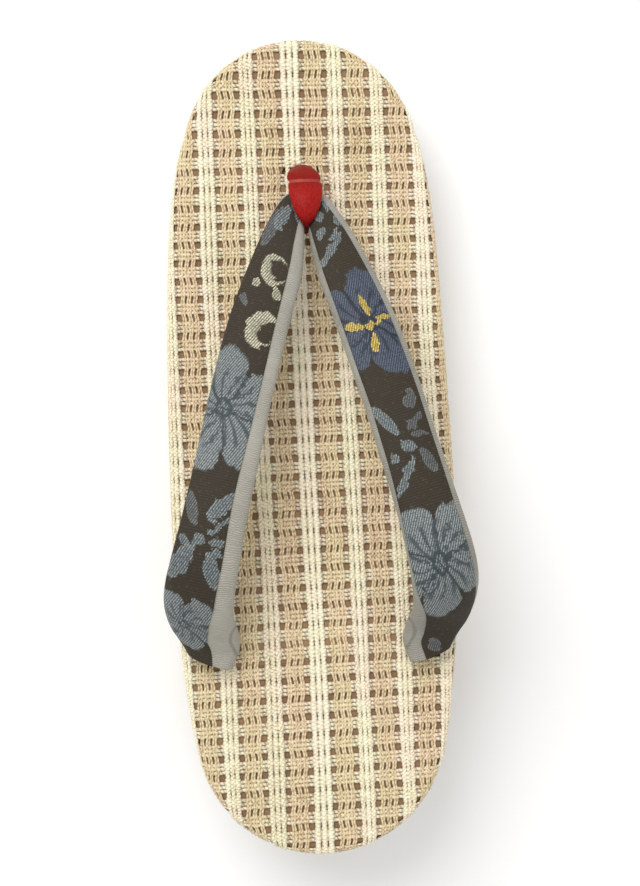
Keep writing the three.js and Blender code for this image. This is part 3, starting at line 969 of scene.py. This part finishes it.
def build_blossom():
    """A five-petalled blossom with veins, petal gaps and a round heart."""
    bench, source, target = new_group("blossom", FIGURE_INPUTS, ("Mask", "Detail"))
    reach, angle = figure_place(bench, source)
    lobe = bench.maths("ABSOLUTE", bench.maths("COSINE", bench.times(angle, 2.5)))
    edge = bench.scaled(bench.maths("POWER", lobe, 0.6), 0.42, 0.58)
    bench.feed(target["Mask"], bench.ramp(bench.maths("DIVIDE", reach, edge), 1.03, 0.96))
    gap_width = bench.maths("DIVIDE", 0.055, bench.maths("MAXIMUM", reach, 0.12))
    gap = bench.ramp(bench.maths("DIVIDE", lobe, gap_width), 0.5, 1.4)
    curl = bench.scaled(reach, 0.6, angle)
    vein = bench.wave(curl, math.pi / 7)
    vein = bench.scaled(bench.ramp(vein, 0.02, 0.42), 0.85, 0.15)
    vein = bench.maths("MAXIMUM", vein, bench.ramp(reach, 0.5, 0.72))
    ring = bench.ramp(bench.apart(reach, 0.13), 0.015, 0.045)
    detail = bench.times(bench.times(gap, vein), ring)
    bench.feed(target["Detail"], detail)


def new_material(name, roughness, **sockets):
    """A material whose steady values stand on the shader itself."""
    material = bpy.data.materials.new(name)
    material.use_nodes = True
    shader = material.node_tree.nodes["Principled BSDF"]
    shader.inputs["Roughness"].default_value = roughness
    for key, value in sockets.items():
        shader.inputs[key.replace("_", " ")].default_value = value
    return material, Bench(material.node_tree), shader


def yarn_material(name, dark, body, light, pitch, bare=None):
    """Cotton or straw yarn with ply strokes that paint shade into the grooves between the plies, stray
    fibres and uneven dye.
    """
    material, bench, shader = new_material(name, 0.78, Sheen_Weight=0.25, Sheen_Roughness=0.5)
    place = bench.place()
    around = bench.split(bench.place("UV"))
    twist = bench.group("yarn_twist", Around=around[0], Length=around[1], Pitch=pitch, Place=place)
    wear = bench.group("wear", Place=place, Scale=28.0)
    # The ply strokes darken the colour between the plies: painted shade.
    tone = bench.scaled(twist["Stroke"], 0.42, bench.times(twist["Fibre"], 0.36))
    tone = bench.scaled(bench.value("shade"), 0.2, tone)
    tone = bench.scaled(wear["Tone"], 0.12, tone)
    colour = bench.mix(bench.ramp(tone, 0.12, 0.62), dark, body)
    colour = bench.mix(bench.ramp(tone, 0.62, 1.0), colour, light)
    if bare is not None:
        colour = bench.mix(bench.value("bare"), colour, bench.mix(bench.ramp(tone, 0.2, 0.9), dark, bare))
    colour = bench.mix(bench.times(wear["Marks"], 0.22), colour, dark)
    cast = bench.ramp(bench.noise(bench.stretch(place, (1.0, 0.5, 1.0)), 75.0, 2.0), 0.38, 0.62)
    warm = bench.mix(1.0, colour, (1.015, 0.965, 0.96), "MULTIPLY")
    cool = bench.mix(1.0, colour, (0.99, 0.995, 0.93), "MULTIPLY")
    colour = bench.mix(cast, warm, cool)
    height = bench.scaled(twist["Stroke"], 0.8, bench.times(twist["Fibre"], 0.5))
    bench.surface(shader, colour, height, 0.7, 0.12 * MM)
    return material


def backing_material():
    """Brown plain-woven cloth that shows through the holes of the cover."""
    material, bench, shader = new_material("board_backing", 0.9, Sheen_Weight=0.2)
    place = bench.place()
    threads = bench.split(bench.in_mm(place))
    weave = bench.times(bench.wave(threads[0], 0.5), bench.wave(threads[1], 0.5))
    wear = bench.group("wear", Place=place, Scale=60.0)
    tone = bench.scaled(weave, 0.5, bench.times(wear["Tone"], 0.5))
    colour = bench.mix(tone, (0.23, 0.135, 0.065), colours().backing)
    bench.surface(shader, colour, weave, 0.5, 0.1 * MM)
    return material


def core_material():
    """Cream leatherette, rubbed along its lower edge."""
    material, bench, shader = new_material("core_leatherette", 0.5, Coat_Weight=0.08)
    place = bench.place()
    grain = bench.group("grain", Place=place, Scale=950.0)
    wear = bench.group("wear", Place=place, Scale=34.0)
    body = bench.mix(wear["Tone"], colours().wrap, tuple(c * 0.86 for c in colours().wrap))
    body = bench.mix(bench.times(grain["Crease"], 0.4), body, (0.50, 0.40, 0.26))
    low = bench.ramp(bench.split(place)[2], 0.013, 0.004)
    rubbed = bench.times(low, bench.ramp(wear["Tone"], 0.3, 0.8))
    body = bench.mix(bench.times(rubbed, 0.45), body, (0.36, 0.27, 0.18))
    body = bench.mix(wear["Marks"], body, (0.55, 0.45, 0.31))
    bench.surface(shader, body, grain["Height"], 0.45, 0.15 * MM)
    bench.feed(shader.inputs["Roughness"], bench.scaled(grain["Crease"], 0.25, 0.42))
    return material


def rubber_material(name, pitch):
    """Brown rubber with a fine cut tread underneath, painted shade in the tread's grooves, and dust in its
    grain.
    """
    material, bench, shader = new_material(name, 0.7)
    place = bench.place()
    sides = bench.split(bench.in_mm(place))
    down = bench.split(bench.add("ShaderNodeNewGeometry").outputs["Normal"])[2]
    under = bench.ramp(down, -0.6, -0.9)
    bend = bench.times(bench.maths("SINE", bench.times(sides[0], 0.9)), 0.9)
    groove = bench.ramp(bench.wave(bench.maths("ADD", sides[1], bend), pitch), 0.1, 0.35)
    tread = bench.times(bench.maths("SUBTRACT", groove, 1.0), under)
    grain = bench.group("grain", Place=place, Scale=1300.0)
    wear = bench.group("wear", Place=place, Scale=45.0)
    body = bench.mix(wear["Tone"], colours().rubber, tuple(c * 1.5 for c in colours().rubber))
    # Painted shade: the tread's grooves are darkened.
    body = bench.mix(bench.times(bench.maths("ABSOLUTE", tread), 0.6), body, (0.05, 0.035, 0.025))
    body = bench.mix(bench.times(wear["Marks"], 0.5), body, (0.42, 0.35, 0.27))
    bench.surface(shader, body, bench.scaled(grain["Height"], 0.12, tread), 0.8, 0.6 * MM)
    return material


def lining_material():
    """Grey corded velvet: fine ribs across the strap, pressed nap and a soft sheen, with painted shade on
    the strap's right side and in its folds.
    """
    material, bench, shader = new_material(
        "strap_lining", 0.88, Sheen_Weight=0.15, Specular_IOR_Level=0.2)
    flat = bench.in_mm(bench.place("UV"))
    along, across, _ = bench.split(flat)
    waver = bench.noise(bench.stretch(flat, (0.25, 0.25, 0.25)), 1.0, 2.0)
    rib = bench.wave(bench.scaled(waver, 1.6, along), 0.62)
    wear = bench.group("wear", Place=bench.place(), Scale=70.0)
    nap = bench.noise(bench.stretch(flat, (5.0, 1.2, 1.0)), 1.0, 3.0)
    tone = bench.scaled(rib, 0.5, bench.times(nap, 0.5))
    # Painted shade: the lining is darker along the strap's right side than along its left.
    light = bench.ramp(along, 12.0, -12.0)
    body = bench.mix(light, tuple(c * 0.74 for c in colours().lining), colours().lining)
    body = bench.mix(bench.ramp(tone, 0.62, 0.1), body, bench.mix(0.5, body, (0.12, 0.115, 0.10)))
    body = bench.mix(bench.times(wear["Tone"], 0.2), body, (0.62, 0.60, 0.53))
    heather = bench.noise(bench.stretch(flat, (3.4, 2.6, 1.0)), 1.0, 3.0, 0.7)
    body = bench.mix(bench.ramp(heather, 0.42, 0.3, 0.0, 0.45), body, (0.17, 0.165, 0.145))
    body = bench.mix(bench.ramp(heather, 0.58, 0.72, 0.0, 0.5), body, (0.60, 0.58, 0.52))
    # The velvet is gathered in curved folds where it turns down at each rear end, and the folds are
    # darkened with painted shade.
    from_turn = bench.maths("SUBTRACT", bench.maths("ABSOLUTE", along), FOLD_ALONG)
    from_edge = bench.maths("SUBTRACT", across, FOLD_ACROSS)
    reach = bench.distance(from_turn, from_edge)
    fold = bench.ramp(bench.apart(reach, FOLD_RADIUS), 0.9, 0.2)
    # Painted shade in the folds.
    body = bench.mix(bench.times(fold, 0.4), body, (0.15, 0.14, 0.12))
    height = bench.scaled(nap, 0.4, rib)
    height = bench.scaled(fold, -2.2, height)
    bench.surface(shader, body, height, 0.8, 0.22 * MM)
    return material


def threads():
    """Dark and light shades of the brocade's figure threads; the light shade shows where painted glints
    fall.
    """
    silver = tuple(colours().silver)
    return {
        "silver": (tuple(c * s for c, s in zip(silver, (0.13, 0.16, 0.18))), silver),
        "dim": ((0.045, 0.048, 0.046), (0.20, 0.205, 0.20)),
        "navy": ((0.022, 0.027, 0.040), (0.125, 0.15, 0.20)),
        "gold": ((0.22, 0.15, 0.03), (0.86, 0.66, 0.17)),
        "pale": ((0.10, 0.095, 0.07), (0.72, 0.69, 0.50)),
    }


def brocade_material():
    """Dark brocade with woven blossoms, wings and curls in silver, navy and gold, and painted glints on
    their threads.
    """
    material, bench, shader = new_material(
        "strap_brocade", 0.62, Specular_IOR_Level=0.18)
    flat = bench.in_mm(bench.place("UV"))
    along, across, _ = bench.split(flat)
    pull = bench.noise(bench.stretch(flat, (0.16, 0.16, 0.16)), 1.0, 2.0)
    jag = bench.noise(bench.stretch(flat, (0.62, 0.5, 1.0)), 1.0, 1.0)
    pull = bench.scaled(pull, 4.0, bench.scaled(jag, 2.6, -3.3))
    # Figures are woven in whole threads, so their edges go in steps.
    step_along = bench.maths("SNAP", bench.maths("ADD", along, pull), 0.42)
    step_across = bench.maths("SNAP", bench.scaled(pull, 0.6, across), 0.36)
    rib = bench.wave(along, 0.74)
    diagonal = bench.wave(bench.scaled(along, 0.52, across), 0.76)
    slub = bench.noise(bench.stretch(flat, (7.0, 1.1, 1.0)), 1.0, 2.0)
    ground = colours().ground
    body = bench.mix(bench.times(rib, slub), tuple(c * 0.55 for c in ground), ground)
    fleck = bench.ramp(bench.noise(bench.stretch(flat, (1.6, 1.2, 1.0)), 1.0, 3.0), 0.58, 0.72)
    body = bench.mix(bench.times(fleck, 0.35), body, (0.17, 0.135, 0.085))
    # Painted highlights: glints on the figure threads, strongest along the twill's diagonals and patchy
    # with noise.
    glint = bench.noise(bench.stretch(flat, (2.2, 1.9, 1.0)), 1.0, 2.0, 0.6)
    sparkle = bench.scaled(bench.maths("POWER", diagonal, 1.5), 0.72, 0.08)
    sparkle = bench.times(sparkle, bench.ramp(glint, 0.32, 0.64, 0.3, 1.75))
    gleam = 0.0
    for kind, middle_along, middle_across, length, width, turn, thread in FIGURES:
        figure = bench.group(
            kind, Along=step_along, Across=step_across, Middle_along=middle_along,
            Middle_across=middle_across, Length=length, Width=width, Turn=float(turn))
        dark, light = threads()[thread]
        shine = bench.maths("MULTIPLY", figure["Detail"], sparkle, clamp=True)
        body = bench.mix(figure["Mask"], body, bench.mix(shine, dark, light))
        gleam = bench.maths("MAXIMUM", gleam, figure["Mask"])
    wear = bench.group("wear", Place=bench.place(), Scale=80.0)
    worn = bench.mix(0.5, body, (0.03, 0.03, 0.03))
    body = bench.mix(bench.times(wear["Tone"], 0.22), body, worn)
    body = bench.mix(bench.times(wear["Marks"], 0.12), body, (0.4, 0.38, 0.34))
    bench.feed(shader.inputs["Roughness"], bench.scaled(gleam, -0.2, 0.66))
    raised = bench.times(gleam, bench.scaled(diagonal, 0.5, 0.4))
    relief = bench.maths("ADD", bench.times(rib, 0.5), raised)
    bench.surface(shader, body, relief, 0.7, 0.14 * MM)
    return material


def thong_material():
    """Red velvet with a painted highlight on its forward lobe and along its crease, painted shade towards
    its point, and a soft nap.
    """
    material, bench, shader = new_material(
        "thong_velvet", 0.46, Specular_IOR_Level=0.1)
    place = bench.place()
    sides = bench.split(bench.in_mm(place))
    nap = bench.noise(bench.stretch(place, (1.0, 0.45, 1.0)), 2400.0, 3.0)
    wear = bench.group("wear", Place=place, Scale=160.0)
    red = tuple(colours().red)
    deep = tuple(c * 0.42 for c in red)
    highlight_red = (min(red[0] * 1.5, 1), red[1] * 3.0, red[2] * 2.0)
    # Painted highlight on the forward lobe, and painted shade towards the point.
    lobe = bench.times(bench.ramp(sides[1], 62.5, 68.0), bench.ramp(sides[1], 76.5, 73.6))
    body = bench.mix(bench.ramp(sides[1], 61.5, 66.5), deep, red)
    body = bench.mix(bench.times(lobe, 0.7), body, highlight_red)
    body = bench.mix(bench.times(bench.ramp(nap, 0.6, 0.35), 0.5), body, deep)
    # Painted highlight along the crease, uneven along its length.
    crease_highlight = bench.ramp(bench.apart(sides[1], THONG_CREASE), 0.75, 0.15)
    crease_highlight = bench.times(crease_highlight, bench.scaled(wear["Tone"], 0.35, 0.12))
    body = bench.mix(crease_highlight, body, (0.52, 0.14, 0.10))
    bench.surface(shader, body, nap, 0.5, 0.15 * MM)
    return material


def floor_material():
    material, bench, shader = new_material("floor", 0.9)
    tone = bench.noise(bench.place(), 3.0, 2.0)
    bench.feed(shader.inputs["Base Color"], bench.mix(tone, (0.93, 0.93, 0.93), (0.91, 0.91, 0.91)))
    return material


def build_groups():
    for build in (build_yarn_twist, build_wear, build_grain, build_patch, build_swirl, build_blossom):
        build()


# ---- Operators ------------------------------------------------------------------


class ZORI_OT_sole(bpy.types.Operator):
    """Finish the outsole, heel lift and core, and make the board's backing"""

    bl_idname = "zori.sole"
    bl_label = "Sole"

    def execute(self, context):
        finishes = (
            ("outsole", rubber_material("outsole_rubber", 3.0)),
            ("heel_lift", rubber_material("lift_rubber", 2.2)),
            ("sole_core", core_material()),
        )
        for node, material in finishes:
            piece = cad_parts[node]
            piece.data.materials.clear()
            piece.data.materials.append(material)
        backing = welded_copy("board_backing", "top_board", sizes().cloth_depth)
        cloth = backing_material()
        finish_piece(backing, cloth, ["top_board"])
        hole_cloths(cloth)
        return {"FINISHED"}


class ZORI_OT_weave(bpy.types.Operator):
    """Weave the open cover over the board"""

    bl_idname = "zori.weave"
    bl_label = "Woven cover"

    def execute(self, context):
        wrap = BoardWrap()
        rng = np.random.default_rng(7)
        tan, cream, weft = (tuple(colours().tan), tuple(colours().cream), tuple(colours().weft))
        straw = yarn_material("tan_yarn", (0.36, 0.225, 0.11), tan, (0.86, 0.73, 0.52), 1.5)
        finish_piece(tan_warps(wrap, rng), straw)
        cotton = yarn_material("cream_yarn", (0.55, 0.44, 0.28), cream, (0.97, 0.93, 0.80), 0.9)
        for piece in cream_ropes(wrap, rng):
            finish_piece(piece, cotton)
        across = yarn_material(
            "weft_yarn", (0.38, 0.25, 0.13), weft, (0.88, 0.77, 0.57), 1.3, (0.88, 0.82, 0.64))
        finish_piece(wefts(wrap, rng), across)
        return {"FINISHED"}


class ZORI_OT_strap(bpy.types.Operator):
    """Make the strap's lining tube and its brocade face"""

    bl_idname = "zori.strap"
    bl_label = "Strap"

    def execute(self, context):
        form = StrapForm(STRAP_SECTIONS)
        turns = np.linspace(0, 2 * math.pi, LINING_SIDES + 1)
        ring = form.ring(np.tile(turns, (form.count, 1)), -sizes().brocade / MM * 0.7)
        lining = sheet_from_grid("strap_lining", LINING_SIDES + 1, form.count)
        around = np.linspace(0, 60, LINING_SIDES + 1)
        uv = np.stack(np.broadcast_arrays(form.along[:, None], around[None]), axis=2) * MM
        place_grid(lining, ring * MM, uv)
        bpy.ops.object.mode_set(mode="EDIT")
        bpy.ops.mesh.select_all(action="SELECT")
        bpy.ops.mesh.remove_doubles(threshold=WELD)
        bpy.ops.mesh.normals_make_consistent(inside=False)
        bpy.ops.object.mode_set(mode="OBJECT")
        smooth_piece(lining)
        finish_piece(lining, lining_material(), ["strap"])
        points, uv = face_points(form, BROCADE_COLUMNS)
        face = sheet_from_grid("strap_brocade", BROCADE_COLUMNS, form.count)
        place_grid(face, points * MM, uv * MM)
        smooth_piece(face)
        apply_modifier(face, "SOLIDIFY", thickness=sizes().brocade, offset=1.0)
        finish_piece(face, brocade_material())
        return {"FINISHED"}


class ZORI_OT_thong(bpy.types.Operator):
    """Make the red thong from its solid, rounded off as stuffed cloth"""

    bl_idname = "zori.thong"
    bl_label = "Thong"

    def execute(self, context):
        thong = welded_copy("thong_velvet", "toe_thong")
        apply_modifier(thong, "REMESH", mode="VOXEL", voxel_size=0.35 * MM, adaptivity=0.0)
        apply_modifier(thong, "SMOOTH", factor=0.5, iterations=8)
        press_crease(thong, THONG_CREASE, 0.55)
        smooth_piece(thong)
        finish_piece(thong, thong_material(), ["toe_thong"])
        return {"FINISHED"}


class ZORI_OT_stage(bpy.types.Operator):
    """Set the floor, lights and camera"""

    bl_idname = "zori.stage"
    bl_label = "Stage"

    def execute(self, context):
        scene = context.scene
        scene.view_settings.view_transform = "Standard"
        bpy.ops.object.select_all(action="DESELECT")
        bpy.ops.mesh.primitive_plane_add(size=6)
        floor = context.object
        floor.name = "floor"
        floor.data.materials.append(floor_material())
        world = bpy.data.worlds.new("studio")
        world.use_nodes = True
        world.node_tree.nodes["Background"].inputs["Color"].default_value = (1, 1, 1, 1)
        world.node_tree.nodes["Background"].inputs["Strength"].default_value = SKY_STRENGTH
        scene.world = world
        bpy.ops.object.light_add(type="AREA", location=LAMP_PLACE)
        lamp = context.object
        lamp.data.shape = "DISK"
        lamp.data.size = LAMP_SIZE
        lamp.data.energy = LAMP_WATTS
        lamp.rotation_euler = Vector(LAMP_TURN).to_track_quat("-Z", "Y").to_euler()
        camera_data = bpy.data.cameras.new("camera")
        camera_data.sensor_width = 36
        camera_data.lens = CAMERA_LENS
        camera = bpy.data.objects.new("camera", camera_data)
        scene.collection.objects.link(camera)
        eye = Vector((*CAMERA_PLACE, sizes().camera_height))
        aim = Vector(CAMERA_AIM)
        # Toe up in the picture, then the whole view rolled a little.
        back = (eye - aim).normalized()
        up = Vector((0, 1, 0))
        across = up.cross(back).normalized()
        up = back.cross(across)
        basis = Matrix((across, up, back)).transposed().to_4x4()
        roll = Matrix.Rotation(math.radians(CAMERA_ROLL), 4, "Z")
        camera.matrix_world = Matrix.Translation(eye) @ basis @ roll
        scene.camera = camera
        return {"FINISHED"}


class ZORI_PT_panel(bpy.types.Panel):
    """Buttons for the sandal's pieces"""

    bl_label = "Zori"
    bl_idname = "ZORI_PT_panel"
    bl_space_type = "VIEW_3D"
    bl_region_type = "UI"
    bl_category = "Zori"

    def draw(self, context):
        for operator in OPERATORS:
            self.layout.operator(operator.bl_idname)
        for name in ZoriSizes.__annotations__:
            self.layout.prop(context.scene.zori_sizes, name)
        for name in ZoriColours.__annotations__:
            self.layout.prop(context.scene.zori_colours, name)


OPERATORS = (ZORI_OT_sole, ZORI_OT_weave, ZORI_OT_strap, ZORI_OT_thong, ZORI_OT_stage)
CLASSES = (ZoriSizes, ZoriColours, *OPERATORS, ZORI_PT_panel)


def register():
    for item in CLASSES:
        bpy.utils.register_class(item)
    bpy.types.Scene.zori_sizes = PointerProperty(type=ZoriSizes)
    bpy.types.Scene.zori_colours = PointerProperty(type=ZoriColours)


def unregister():
    del bpy.types.Scene.zori_sizes
    del bpy.types.Scene.zori_colours
    for item in reversed(CLASSES):
        bpy.utils.unregister_class(item)


def main():
    register()
    build_groups()
    bpy.ops.zori.stage()
    bpy.ops.zori.sole()
    bpy.ops.zori.weave()
    bpy.ops.zori.strap()
    bpy.ops.zori.thong()


if __name__ == "__main__":
    main()
